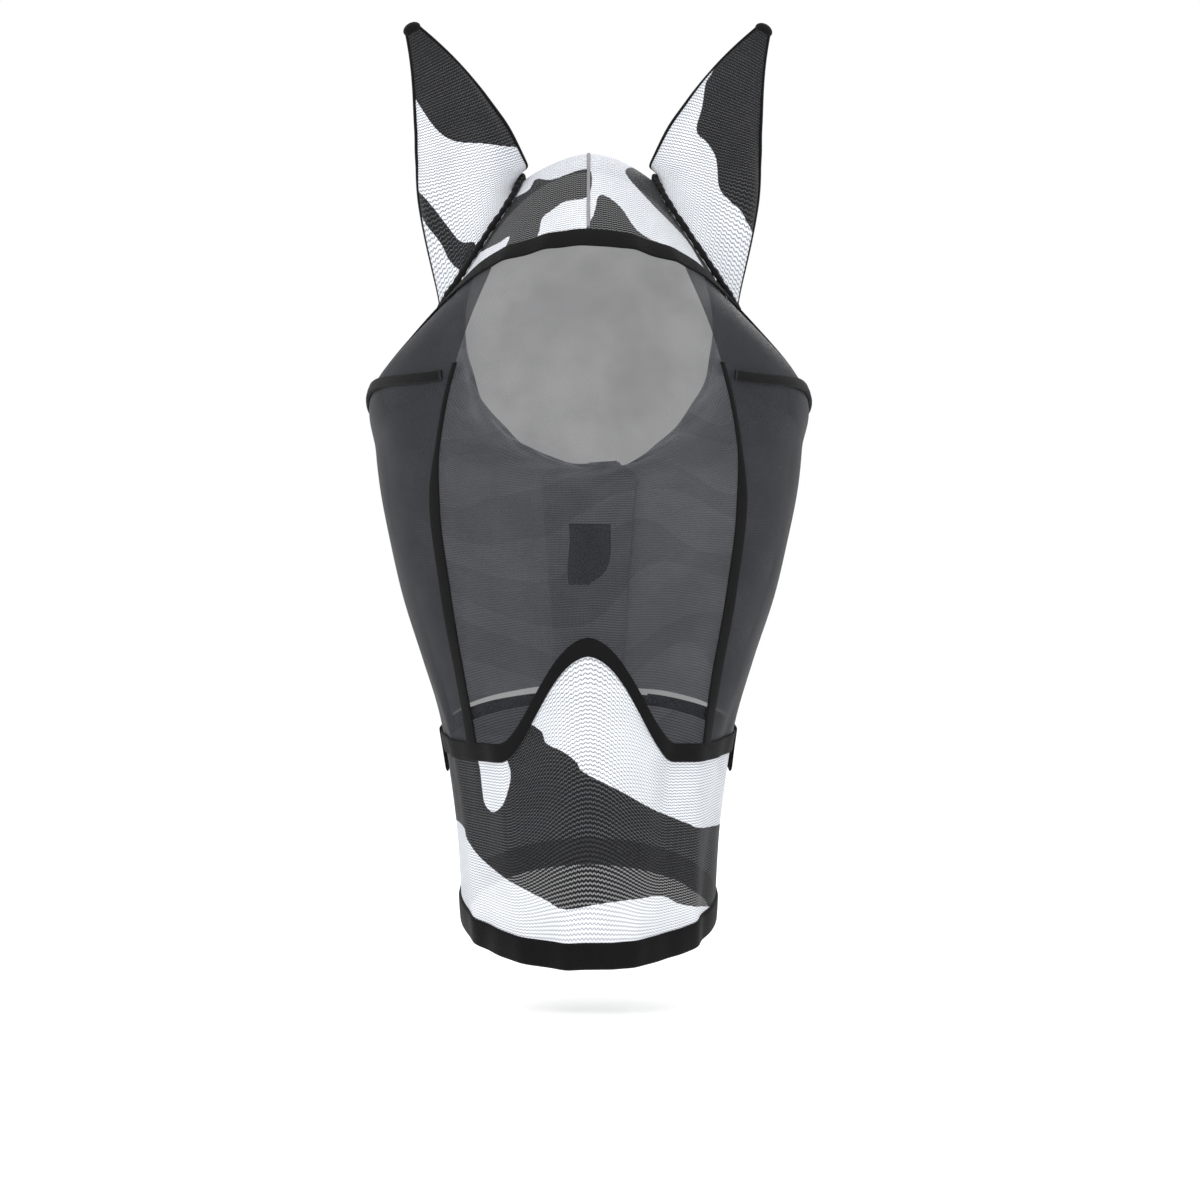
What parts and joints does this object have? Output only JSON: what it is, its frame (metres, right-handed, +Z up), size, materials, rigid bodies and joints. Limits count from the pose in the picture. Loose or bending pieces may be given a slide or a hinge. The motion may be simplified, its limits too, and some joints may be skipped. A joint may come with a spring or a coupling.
{
  "type": "horse fly mask",
  "caption": "Horse fly mask as worn: fine net over face and eyes, printed mesh crown, ear covers and nose piece, hook-and-loop jaw closure.",
  "frame": {"origin": "where the crown rests on the horse's poll, under the crown panel's front middle", "axes": "+Z up along the face, the face looks along -Y, +X towards the viewer's right when facing the mask"},
  "size_m": [0.3194, 0.2821, 0.6652],
  "materials": {
    "fine_net": "matte",
    "printed_mesh": "matte",
    "binding_tape": "matte",
    "hem_fleece": "matte",
    "hook_tape": "satin",
    "loop_tape": "matte",
    "padding": "matte",
    "elastic": "matte"
  },
  "bodies": {
    "head_cover": {"brow_binding": "binding_tape", "cheek_mesh_left": "fine_net", "cheek_mesh_right": "fine_net", "cheek_seam_tape_left": "binding_tape", "cheek_seam_tape_right": "binding_tape", "chin_binding": "binding_tape", "chin_panel": "printed_mesh", "chin_strap_anchor": "binding_tape", "chin_strap_loop_pad": "loop_tape", "chin_strap_tail": "binding_tape", "crown_panel_left": "printed_mesh", "crown_panel_right": "printed_mesh", "crown_seam_tape": "binding_tape", "dart_binding_left": "binding_tape", "dart_binding_right": "binding_tape", "ear_ring_left": "elastic", "ear_ring_right": "elastic", "eye_dart_left": "fine_net", "eye_dart_right": "fine_net", "eye_stay_left": "padding", "eye_stay_right": "padding", "face_mesh": "fine_net", "face_seam_tape_left": "binding_tape", "face_seam_tape_right": "binding_tape", "hem_band_front": "hem_fleece", "hem_band_rear": "hem_fleece", "jaw_panel": "printed_mesh", "loop_strip_lower": "loop_tape", "loop_strip_upper": "loop_tape", "neck_binding": "binding_tape", "nose_binding": "binding_tape", "nose_panel": "printed_mesh", "nose_seam_tape_left": "binding_tape", "nose_seam_tape_right": "binding_tape", "side_panel_left": "printed_mesh", "side_panel_right": "printed_mesh", "side_seam_tape_left": "binding_tape", "side_seam_tape_right": "binding_tape"},
    "left_ear": {"ear_front_left": "printed_mesh", "ear_back_left": "printed_mesh", "ear_seam_tape_left": "binding_tape"},
    "right_ear": {"ear_front_right": "printed_mesh", "ear_back_right": "printed_mesh", "ear_seam_tape_right": "binding_tape"},
    "jaw_flap": {"jaw_flap": "printed_mesh", "hook_strip_lower": "hook_tape", "hook_strip_upper": "hook_tape"},
    "chin_strap": {"chin_strap_arm": "binding_tape", "chin_strap_hook_pad": "hook_tape"}
  },
  "joints": [
    {"name": "left_ear_turn", "type": "hinge", "parent": "head_cover", "child": "left_ear", "pos_m": [-0.0788, 0.01604, -0.06237], "axis": [-0.4579, 0, -0.889], "range_deg": [-15, 15]},
    {"name": "right_ear_turn", "type": "hinge", "parent": "head_cover", "child": "right_ear", "pos_m": [0.0788, 0.01604, -0.06237], "axis": [0.4579, 0, -0.889], "range_deg": [-15, 15]},
    {"name": "jaw_flap_fold", "type": "hinge", "parent": "head_cover", "child": "jaw_flap", "pos_m": [0.07032, 0.12949, -0.24557], "axis": [0, -0.4235, -0.9059], "range_deg": [0, 110]},
    {"name": "chin_strap_fold", "type": "hinge", "parent": "head_cover", "child": "chin_strap", "pos_m": [-0.07568, 0.05088, -0.40322], "axis": [-0.1081, 0.1759, 0.9785], "range_deg": [0, 110]}
  ]
}
